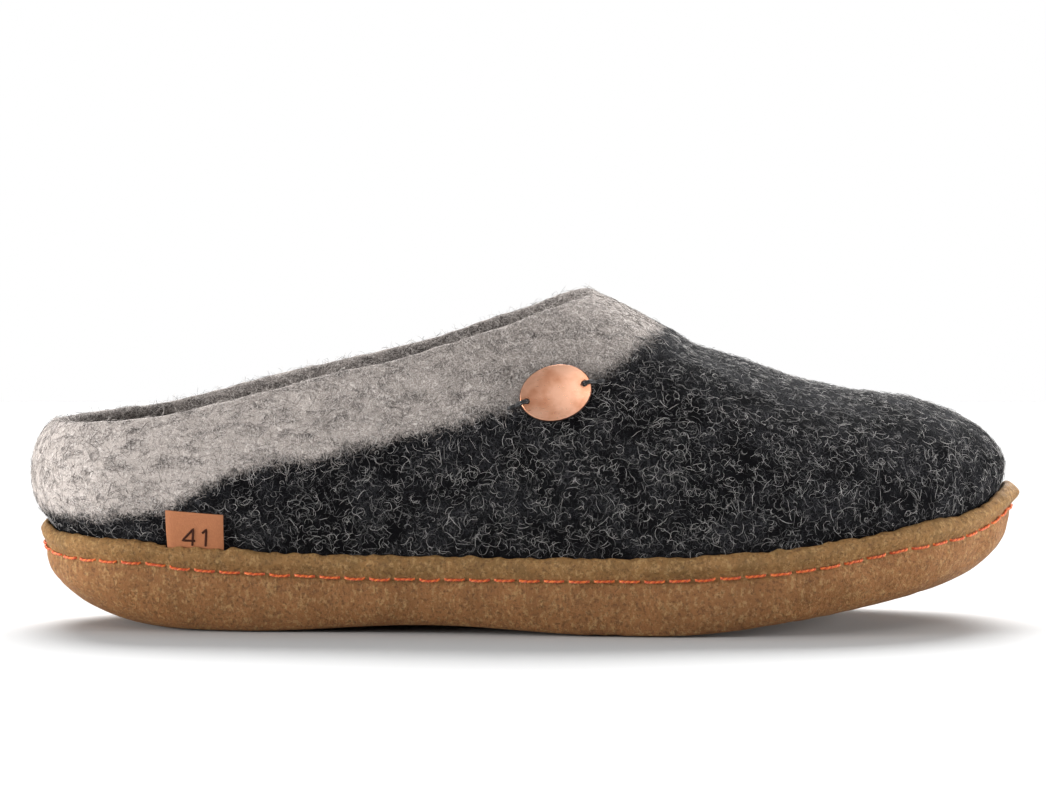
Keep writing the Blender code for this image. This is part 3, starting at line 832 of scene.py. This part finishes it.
@dataclass(frozen=True)
class Fibres:
    """One lot of loose wool fibres: how many, how long, how curled, and which wool they lie on."""

    name: str
    finish: WoolFibre
    wool: Wool
    count: int
    seed: int
    length: tuple[float, float]
    segments: int
    curl: float
    lift: tuple[float, float]
    radius: float
    # How far, in mm, fibres stray over the band's edge, and how much each step turns by chance
    stray: float = 3.2
    wobble: float = 0.28
    sides: int = 3
    clear_of_lip: float = 0.2 * MM

    def _roots(self, upper: FeltUpper, draw: np.random.Generator) -> tuple[np.ndarray, np.ndarray]:
        """Scatters the fibres' places over the felt, evenly by area.

        Args:
            upper: The shell.
            draw: The random draws.

        Returns:
            The places and the felt's outward vectors there.
        """
        mesh = upper.mesh
        mesh.calc_loop_triangles()
        corners = np.empty(len(mesh.loop_triangles) * 3, int)
        mesh.loop_triangles.foreach_get("vertices", corners)
        a, b, c = places(mesh)[corners.reshape(-1, 3)].transpose(1, 0, 2)
        ways = facings(mesh)[corners.reshape(-1, 3)].mean(axis=1)
        area = np.linalg.norm(np.cross(b - a, c - a), axis=1)
        middle = (a + b + c) / 3
        over_lip = upper.seam.height_under(middle) - upper.seam.lip_over_seam
        side = upper.above_edge(middle) + draw.normal(0, self.stray, len(middle))
        wanted = (side > 0) if self.wool is Wool.BAND else (side < 0)
        inside = faces_inside(middle, ways)
        deep = middle[:, 2] < upper.edge_height(middle) * MM
        weight = area * wanted * (over_lip > self.clear_of_lip) * ~(inside & deep)
        picked = draw.choice(len(area), self.count, p=weight / weight.sum())
        u, v = draw.random((2, self.count, 1))
        over = (u + v) > 1
        u, v = np.where(over, 1 - u, u), np.where(over, 1 - v, v)
        at = a[picked] + (b - a)[picked] * u + (c - a)[picked] * v
        return at, ways[picked] / np.linalg.norm(ways[picked], axis=1, keepdims=True)

    def make(self, upper: FeltUpper) -> Piece:
        """Models the fibres as one mesh of closed spindles, each bent along the felt.

        Args:
            upper: The shell that they grow from.

        Returns:
            The dressed piece.
        """
        draw = np.random.default_rng(self.seed)
        roots, out = self._roots(upper, draw)
        count, steps = self.count, self.segments
        some = draw.normal(size=(count, 3))
        side = np.cross(out, some)
        side /= np.linalg.norm(side, axis=1, keepdims=True)
        ahead = np.cross(side, out)
        length = draw.uniform(*self.length, count)
        share = np.arange(steps + 1) / steps
        turn = draw.normal(0, self.curl, (count, 1)) * share[1:]
        turn = turn + np.cumsum(draw.normal(0, self.wobble, (count, steps)), axis=1)
        step = (length / steps)[:, None]
        start = np.zeros((count, 1))
        forth = np.hstack([start, np.cumsum(np.cos(turn) * step, axis=1)])
        aside = np.hstack([start, np.cumsum(np.sin(turn) * step, axis=1)])
        low, high = self.lift
        lift = low + (high - low) * draw.random((count, 1)) ** 4
        bow = np.sin(math.pi * share**draw.uniform(0.6, 1.6, (count, 1)))
        rise = lift * (bow * 0.6 + share * draw.random((count, 1)) * 0.8) + self.radius
        line = (
            roots[:, None]
            + ahead[:, None] * forth[..., None]
            + side[:, None] * aside[..., None]
            + out[:, None] * rise[..., None]
        )
        along = line[:, 2:] - line[:, :-2]
        along /= np.linalg.norm(along, axis=2, keepdims=True)
        first = np.cross(along, out[:, None])
        first /= np.linalg.norm(first, axis=2, keepdims=True)
        second = np.cross(along, first)
        angles = 2 * math.pi * np.arange(self.sides) / self.sides
        rings = line[:, 1:-1, None] + self.radius * (
            first[:, :, None] * np.cos(angles)[:, None] + second[:, :, None] * np.sin(angles)[:, None]
        )
        verts = np.concatenate([line[:, :1], rings.reshape(count, -1, 3), line[:, -1:]], axis=1)
        piece = self._mesh(verts)
        set_attribute(piece.data, "shade", np.repeat(draw.random(count) ** 1.6, verts.shape[1]))
        return dress(piece, self.finish.make(), Slot.UPPER)

    def _mesh(self, verts: np.ndarray) -> Piece:
        """Joins each fibre's points with faces: a point, rings of quads, a point.

        Args:
            verts: The points of each fibre.

        Returns:
            The bare piece.
        """
        sides, rings = self.sides, self.segments - 1
        tips = [[0, 1 + (k + 1) % sides, 1 + k] for k in range(sides)]
        last = 1 + (rings - 1) * sides
        tips += [[last + sides, last + k, last + (k + 1) % sides] for k in range(sides)]
        walls = []
        for low in range(1, last, sides):
            for k in range(sides):
                after = (k + 1) % sides
                walls.append([low + k, low + after, low + sides + after, low + sides + k])
        base = (np.arange(len(verts)) * verts.shape[1])[:, None, None]
        faces = (base + np.array(tips)).reshape(-1, 3).tolist()
        faces += (base + np.array(walls)).reshape(-1, 4).tolist()
        mesh = bpy.data.meshes.new(self.name)
        mesh.from_pydata(verts.reshape(-1, 3), [], faces)
        mesh.shade_smooth()
        return placed(self.name, mesh)


@dataclass
class CrepeCup:
    """The rubber cup: a finer copy of the CAD solid whose lip was trimmed by hand."""

    seam: Seam
    trim: float = 0.42 * MM
    bulge: float = 0.3 * MM
    # Edges of the lip and the side that are longer than this are halved first
    longest: float = 4.6 * MM
    far_below_seam: float = 12 * MM
    # The lip was cut to a small point at the tip of the toe
    corner: float = 1.5 * MM
    corner_width: float = 7 * MM
    corner_rise: float = 3.4 * MM
    corner_height: float = 2.4 * MM

    def make(self) -> Piece:
        """Models and dresses the cup."""
        bm = merged_copy("outsole")
        sole_floor = self.seam.line[:, 2].min() - self.far_below_seam
        long_edges = [
            edge
            for edge in bm.edges
            if self.longest < edge.calc_length() < 2.5 * self.longest
            and min(vertex.co.z for vertex in edge.verts) > sole_floor
        ]
        bmesh.ops.subdivide_edges(bm, edges=long_edges, cuts=1, use_grid_fill=True)
        piece, points, ways = finer_copy(bm, "crepe_cup", 2)
        over = self.seam.height_under(points)
        lip = eased(over, 2.5 * MM, 5.5 * MM)
        along = points * np.array([1, 1, 0.2])
        ragged = sum(
            share * rolling(along, size * MM, seed)
            for share, size, seed in ((0.4, 15, 21), (0.45, 6, 22), (0.4, 3.2, 24))
        )
        points[:, 2] += lip * ragged * self.trim
        tip_y = points[points[:, 0].argmax(), 1]
        corner = np.exp(-(((points[:, 1] - tip_y) / self.corner_width) ** 2)) * (points[:, 0] > 0)
        corner *= np.exp(-(((over - self.corner_rise) / self.corner_height) ** 2))
        points[:, 0] += self.corner * corner
        outer = ways[:, 2] > -0.6
        uneven = self.bulge * rolling(points, 16 * MM, seed=23) * eased(points[:, 2], 3 * MM, 9 * MM)
        points += ways * (uneven * outer)[:, None]
        set_places(piece.data, points)
        set_attribute(piece.data, "over_seam", over / MM)
        self.tree = tree_of(piece.data)
        return dress(piece, CrepeRubber().make(), Slot.RUBBER, "outsole")


def new_curve(name: str, radius: float, resolution: int) -> Curve:
    """A bare round cord.

    Args:
        name: Its name, which the finished piece takes.
        radius: Half its thickness.
        resolution: How finely it is rounded.

    Returns:
        The curve, without splines.
    """
    curve = bpy.data.curves.new(name, "CURVE")
    curve.dimensions = "3D"
    curve.bevel_depth = radius
    curve.bevel_resolution = resolution
    curve.use_fill_caps = True
    return curve


def lay_cord(curve: Curve, way: list[Vector], widths: list[float] | None = None) -> None:
    """Lays a stretch of cord through the points of its way.

    Args:
        curve: The cord.
        way: The points.
        widths: The share of the cord's thickness at each, or None for all of it.
    """
    spline = curve.splines.new("POLY")
    spline.points.add(len(way) - 1)
    for point, place, width in zip(spline.points, way, widths or [1.0] * len(way)):
        point.co = (*place, 1.0)
        point.radius = width


def curve_piece(curve: Curve) -> Piece:
    """Makes a cord a smooth mesh piece.

    Args:
        curve: The cord with its splines.

    Returns:
        The bare piece.
    """
    drawn = placed(curve.name + "_curve", curve)
    mesh = bpy.data.meshes.new_from_object(drawn.evaluated_get(bpy.context.evaluated_depsgraph_get()))
    bpy.data.objects.remove(drawn)
    mesh.name = curve.name
    mesh.shade_smooth()
    return placed(curve.name, mesh)


@dataclass
class Lockstitch:
    """The orange thread that sews the felt to the rubber: two plies laid together, a dip at each hole."""

    seam: Seam
    cup: CrepeCup
    pitch: float = 7.2 * MM
    # Half the thickness of a ply, the share of a pitch left free at each end, and turns of the twist
    ply: float = 0.27 * MM
    gap: float = 0.06
    lays: float = 4.0
    points_each: int = 19
    # How far stitches stand off the rubber, and how far they lean aside, in mm
    slack: tuple[float, float] = (0.05, 0.35)
    sway: float = 0.12

    def _point(self, at: float, share: float, ply: int, slack: float, sway: float) -> Vector:
        """One point of a ply.

        Args:
            at: How far along the seam's line it is, counted in the line's points.
            share: How far along its stitch it is, from 0 to 1.
            ply: Which ply.
            slack: How far the stitch stands off the rubber.
            sway: How far it leans aside.

        Returns:
            The point.
        """
        line = self.seam.line
        low = int(at) % len(line)
        start, end = Vector(line[low]), Vector(line[(low + 1) % len(line)])
        place, out, _, _ = self.cup.tree.find_nearest(start.lerp(end, at - int(at)))
        up = (end - start).normalized().cross(out).normalized()
        if up.z < 0:
            up.negate()
        arch = math.sin(math.pi * share)
        height = self.ply * 1.7 + slack * arch - self.ply * 4.5 * (1 - arch) ** 4
        angle = 2 * math.pi * (self.lays * share + ply / 2)
        twist = (out * math.cos(angle) + up * math.sin(angle)) * self.ply * 0.8
        return place + out * height + up * sway * arch + twist

    def make(self) -> Piece:
        """Models and dresses all the stitches as one piece of bevelled curves made into a mesh."""
        count = round(self.seam.length / self.pitch)
        curve = new_curve("lockstitch", self.ply, 1)
        draw = np.random.default_rng(31)
        shares = [k / (self.points_each - 1) for k in range(self.points_each)]
        widths = [0.55 + 0.45 * min(1.0, math.sin(math.pi * share) * 3) for share in shares]
        for stitch in range(count):
            slack = draw.uniform(*self.slack) * MM
            sway = draw.normal(0, self.sway) * MM
            gone = [(stitch + self.gap + share * (1 - 2 * self.gap)) / count for share in shares]
            for ply in range(2):
                way = [
                    self._point(at * self.seam.samples, share, ply, slack, sway)
                    for at, share in zip(gone, shares)
                ]
                lay_cord(curve, way, widths)
        finish = WaxedThread("waxed_orange_thread", "#ff8c34", "#c24408")
        piece = curve_piece(curve)
        # The second ply of each stitch is marked so that the material paints it in shade
        each = len(piece.data.vertices) // (2 * count)
        set_attribute(piece.data, "ply", (np.arange(len(piece.data.vertices)) // each % 2).astype(float))
        return dress(piece, finish.make(), None)


@dataclass
class Footbed:
    """The insole: a finer copy of the CAD solid, slightly hollowed by wear."""

    unevenness: float = 0.2 * MM
    # It is pressed out to this far from the wall, but no further than most_spread from the solid's edge
    clearance: float = 0.2 * MM
    most_spread: float = 6 * MM

    def make(self, upper: FeltUpper) -> Piece:
        """Models and dresses the footbed, pressed out to the wall.

        Args:
            upper: The shell that it lies in.

        Returns:
            The dressed piece.
        """
        bm = merged_copy("insole")
        flat = [edge for edge in bm.edges if len(edge.link_faces) == 2 and edge.calc_face_angle(0) < 0.5]
        bmesh.ops.subdivide_edges(bm, edges=flat, cuts=1, use_grid_fill=True)
        piece, points, ways = finer_copy(bm, "felt_footbed", 1)
        soft = self.unevenness * rolling(points, 22 * MM, seed=41) * (ways[:, 2] > 0.5)
        points[:, 2] -= np.abs(soft)
        wall = tree_of(upper.mesh)
        for k in np.flatnonzero(np.abs(ways[:, 2]) < 0.9):
            away = Vector((ways[k, 0], ways[k, 1], 0)).normalized()
            place, _, _, free = wall.ray_cast(Vector(points[k]), away)
            if place is not None:
                points[k] += np.array(away) * min(max(free - self.clearance, 0.0), self.most_spread)
        set_places(piece.data, points)
        return dress(piece, PressedFelt().make(), Slot.INSOLE, "insole")


@dataclass
class SizeTag:
    """The leather tab with its size in two plain figures, burned into the face."""

    figure_height: float = 5.0 * MM
    lean: float = math.radians(3)
    burn: float = 0.4 * MM
    # Middle of the figures: share of the tab's length, and height of their foot above its lower end
    across: float = 0.52
    foot: float = 5.5 * MM
    # Each stroke's corners, right and up, in shares of the figures' height
    strokes: tuple[tuple[tuple[float, float], ...], ...] = (
        ((-0.21, 0.0), (-0.19, 0.98), (-0.78, 0.27), (-0.05, 0.29)),
        ((0.33, 0.76), (0.56, 0.98), (0.55, 0.0)),
    )

    def make(self) -> list[Piece]:
        """Models and dresses the tab and its figures."""
        bm = merged_copy("size_tag")
        sharp = [edge for edge in bm.edges if edge.calc_face_angle(0) > math.radians(50)]
        round_edges(bm, sharp, 0.12 * MM)
        tab = to_piece(bm, "leather_tab")
        tab.data.set_sharp_from_angle(angle=math.radians(35))
        face = tree_of(tab.data)
        return [dress(tab, TanLeather().make(), Slot.LEATHER, "size_tag"), self._figures(face)]

    def _figures(self, face: BVHTree) -> Piece:
        """Lays the figures on the tab's outer face.

        Args:
            face: The tab's search tree.

        Returns:
            The dressed figures.
        """
        low, high = (Vector(corner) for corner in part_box("size_tag"))
        origin = Vector((low.x + (high.x - low.x) * self.across, low.y - 20 * MM, low.z + self.foot))
        turn = Euler((0, self.lean, 0)).to_matrix()
        curve = new_curve("burned_figures", self.burn, 2)
        for stroke in self.strokes:
            laid = []
            for start, end in zip(stroke, stroke[1:]):
                for share in np.linspace(0, 1, 9):
                    right, up = np.array(start) * (1 - share) + np.array(end) * share
                    at = origin + turn @ Vector((right, 0, up)) * self.figure_height
                    place, way, _, _ = face.ray_cast(at, Vector((0, 1, 0)))
                    if place is not None and (not laid or (place - laid[-1]).length > 0.01 * MM):
                        laid.append(place - way * self.burn * 0.4)
            lay_cord(curve, laid)
        return dress(curve_piece(curve), BurnedLeather().make(), Slot.LEATHER)


@dataclass
class CopperBadge:
    """The oval copper disc with its two holes and the black thread that ties it to the felt."""

    thread: float = 0.62 * MM
    strands: int = 2
    hole: float = 8.6 * MM
    rim: float = 0.3 * MM
    # The disc is bowed by its ties: how far its ends bend in
    bow: float = 0.35 * MM

    def make(self, upper: FeltUpper) -> list[Piece]:
        """Models and dresses the disc and its ties.

        Args:
            upper: The shell that it is tied to.

        Returns:
            The pieces.
        """
        bm = merged_copy("badge")
        sharp = [edge for edge in bm.edges if edge.calc_face_angle(0) > math.radians(35)]
        round_edges(bm, sharp, 0.1 * MM)
        outward = max(bm.faces, key=lambda face: -face.normal.y * face.calc_area()).normal.copy()
        front = [face for face in bm.faces if face.normal.dot(outward) > 0.98]
        bmesh.ops.inset_region(bm, faces=front, thickness=self.rim, use_even_offset=True)
        disc = to_piece(bm, "copper_disc")
        disc.data.set_sharp_from_angle(angle=math.radians(14))
        points = places(disc.data)
        self.middle, self.long, self.short, self.out = self._axes(points)
        flat = points - self.middle
        forth = flat @ self.long / self._half(flat, self.long)
        aside = flat @ self.short / self._half(flat, self.short)
        set_attribute(disc.data, "rim", eased(np.hypot(forth, aside), 0.972, 0.985))
        set_places(disc.data, points - self.out * (self.bow * forth**2)[:, None])
        return [dress(disc, Copper().make(), Slot.COPPER, "badge"), self._ties(upper, flat)]

    @staticmethod
    def _half(flat: np.ndarray, way: np.ndarray) -> float:
        """Half of the disc's size along a way."""
        return float(np.abs(flat @ way).max())

    @staticmethod
    def _axes(points: np.ndarray) -> tuple[np.ndarray, np.ndarray, np.ndarray, np.ndarray]:
        """The disc's middle and its long, short and outward ways."""
        middle = (points.max(axis=0) + points.min(axis=0)) / 2
        _, _, ways = np.linalg.svd(points - points.mean(axis=0), full_matrices=False)
        long, short, out = ways
        long = long * np.sign(long[0])
        out = out * np.sign(-out[1])
        return middle, long, np.cross(out, long), out

    def _ties(self, upper: FeltUpper, flat: np.ndarray) -> Piece:
        """The black thread from each hole, over the rim and into the felt.

        Args:
            upper: The shell.
            flat: The disc's points from its middle.

        Returns:
            The dressed thread.
        """
        felt = tree_of(upper.mesh)
        half, top = self._half(flat, self.long), (flat @ self.out).max()
        curve = new_curve("badge_ties", self.thread / 2, 2)
        stops = (
            (self.hole - 0.25 * MM, top - 1.6 * MM),
            (self.hole - 0.1 * MM, top - 0.1 * MM),
            (self.hole + 0.45 * MM, top + 0.42 * MM),
            (half - 0.3 * MM, top + 0.3 * MM),
            (half + 0.55 * MM, top - 0.55 * MM),
        )
        for end in (-1, 1):
            for strand in range(self.strands):
                sway = (strand - (self.strands - 1) / 2) * self.thread
                ahead = self.long * end
                ways = [
                    self.middle + ahead * reach + self.short * sway + self.out * (rise - self.bow)
                    for reach, rise in stops
                ]
                for reach, rise in ((1.5, 0.65), (3.2, 0.5), (4.4, -0.9)):
                    over = self.middle + ahead * (half + reach * MM) + self.short * sway * 0.6
                    place, _, _, _ = felt.find_nearest(Vector(over))
                    ways.append(np.array(place) + self.out * rise * MM)
                spline = curve.splines.new("BEZIER")
                spline.bezier_points.add(len(ways) - 1)
                for point, way in zip(spline.bezier_points, ways):
                    point.co = way
                    point.handle_left_type = point.handle_right_type = "AUTO"
        curve.resolution_u = 6
        finish = WaxedThread("waxed_black_thread", "#08080a", "#18181b")
        return dress(curve_piece(curve), finish.make(), None)


@dataclass(frozen=True)
class SoftBox:
    """A square studio light."""

    name: str
    place: Triple
    size: float
    power: float

    def make(self, target: Vector) -> None:
        """Hangs the light so that it faces the target."""
        lamp = bpy.data.lights.new(self.name, "AREA")
        lamp.shape = "SQUARE"
        lamp.size = self.size
        lamp.energy = self.power
        hung = placed(self.name, lamp)
        hung.location = self.place
        hung.rotation_euler = (target - Vector(self.place)).to_track_quat("-Z", "Y").to_euler()


@dataclass
class Studio:
    """Pale paper, soft light from behind and both sides, and the camera at the photograph's angle."""

    distance: float = 2.2
    elevation: float = math.radians(4)
    target: Triple = (-0.3 * MM, 0.0, 66.9 * MM)
    field: float = 303.9 * MM
    sensor: float = 36.0
    # The room's glow from the front to the back, and the share of the way back where it rises
    front_glow: float = 0.28
    back_glow: float = 1.0
    glow_way: Triple = (0.0, 1.0, 0.05)
    glow_rise: tuple[float, float] = (-0.3, 0.4)
    floor_half: tuple[float, float] = (1.6, 1.1)
    floor_middle: float = -0.2
    # A broad window behind and above, whose shade falls towards the camera
    window_way: Triple = (0.0, 1.0, 0.9)
    window_width: float = math.radians(40)
    window_strength: float = 7.0
    lights: tuple[SoftBox, ...] = (
        SoftBox("left_softbox", (-1.0, -0.32, 0.12), 0.35, 13.0),
        SoftBox("right_softbox", (1.05, -0.2, 0.2), 0.35, 9.5),
        SoftBox("front_softbox", (0.2, -1.05, 0.86), 0.4, 1.9),
    )

    def _room(self) -> bpy.types.World:
        """A white room that is dim on the photographer's side, so that the side towards them falls off."""
        world = bpy.data.worlds.new("soft_white_room")
        world.use_nodes = True
        tree = world.node_tree
        way = add_node(tree, "ShaderNodeTexCoord", {}).outputs["Generated"]
        tilt = add_node(tree, "ShaderNodeVectorMath", {0: way, 1: self.glow_way}, operation="DOT_PRODUCT")
        glow = ranged(tree, tilt.outputs["Value"], *self.glow_rise, self.front_glow, self.back_glow)
        seen = add_node(tree, "ShaderNodeLightPath", {}).outputs["Is Camera Ray"]
        room = tree.nodes["Background"]
        room.inputs["Color"].default_value = linear("#ffffff")
        tree.links.new(calculated(tree, "MAXIMUM", glow, seen), room.inputs["Strength"])
        return world

    def make(self) -> None:
        """Lays the floor, hangs the lights and sets the camera up."""
        bm = bmesh.new()
        shape = Matrix.Translation((0, self.floor_middle, 0)) @ Matrix.Diagonal((*self.floor_half, 1, 1))
        bmesh.ops.create_grid(bm, x_segments=8, y_segments=8, size=1.0, matrix=shape)
        floor = to_piece(bm, "studio_floor")
        cover(floor, StudioPaper().make())
        target = Vector(self.target)
        for light in self.lights:
            light.make(target)
        window = bpy.data.lights.new("back_window", "SUN")
        window.angle = self.window_width
        window.energy = self.window_strength
        hung = placed("back_window", window)
        hung.rotation_euler = (-Vector(self.window_way)).to_track_quat("-Z", "Y").to_euler()
        bpy.context.scene.world = self._room()
        bpy.context.scene.view_settings.view_transform = "Standard"
        lens = bpy.data.cameras.new("camera")
        lens.sensor_fit = "HORIZONTAL"
        lens.sensor_width = self.sensor
        lens.lens = self.sensor * self.distance / self.field
        lens.clip_end = 20
        back = Vector((0, -math.cos(self.elevation), math.sin(self.elevation)))
        camera = placed("camera", lens)
        camera.location = target + back * self.distance
        camera.rotation_euler = (math.radians(90) - self.elevation, 0, 0)
        bpy.context.scene.camera = camera


# Fibres are drawn about 0.07 mm thick, twice as thick as real ones, so that they show in a whole view
FIBRE_LOTS = (
    Fibres(
        "pale_curls_on_body", WoolFibre("pale_wool_fibre", "#5e5d5e", "#f4f0ec"), Wool.BODY,
        count=8200, seed=51, length=(2.0 * MM, 5.2 * MM), segments=5, curl=3.0,
        lift=(0.1 * MM, 0.8 * MM), radius=0.036 * MM,
    ),
    Fibres(
        "grey_curls_on_body", WoolFibre("grey_wool_fibre", "#1c1c1e", "#a3a1a1"), Wool.BODY,
        count=8200, seed=52, length=(1.8 * MM, 4.2 * MM), segments=5, curl=3.3,
        lift=(0.1 * MM, 0.7 * MM), radius=0.032 * MM,
    ),
    Fibres(
        "short_curls_on_body", WoolFibre("short_wool_fibre", "#2e2e30", "#b4b2b1"), Wool.BODY,
        count=6400, seed=55, length=(1.4 * MM, 3.2 * MM), segments=4, curl=3.0,
        lift=(0.08 * MM, 0.6 * MM), radius=0.032 * MM,
    ),
    Fibres(
        "light_nap_on_band", WoolFibre("light_wool_fibre", "#9b938d", "#f0e8e2"), Wool.BAND,
        count=8400, seed=53, length=(2.0 * MM, 5.0 * MM), segments=4, curl=1.1,
        lift=(0.05 * MM, 0.55 * MM), radius=0.036 * MM,
    ),
    Fibres(
        "dark_flecks_on_band", WoolFibre("fleck_wool_fibre", "#1c1a1a", "#5c5653"), Wool.BAND,
        count=5600, seed=54, length=(1.6 * MM, 4.6 * MM), segments=4, curl=1.1,
        lift=(0.03 * MM, 0.4 * MM), radius=0.036 * MM,
    ),
)


def main() -> None:
    """Builds every piece in order and reports it."""
    logging.basicConfig(level=logging.INFO, format="%(name)s: %(message)s")
    Studio().make()
    seam = Seam()
    upper, cup = FeltUpper(seam), CrepeCup(seam)
    pieces = [upper.make(), cup.make(), Footbed().make(upper)]
    pieces.append(Lockstitch(seam, cup).make())
    pieces += SizeTag().make()
    pieces += CopperBadge().make(upper)
    pieces += [lot.make(upper) for lot in FIBRE_LOTS]
    for piece in pieces:
        log.info("%s: %d faces", piece.name, len(piece.data.polygons))


if __name__ == "__main__":
    main()
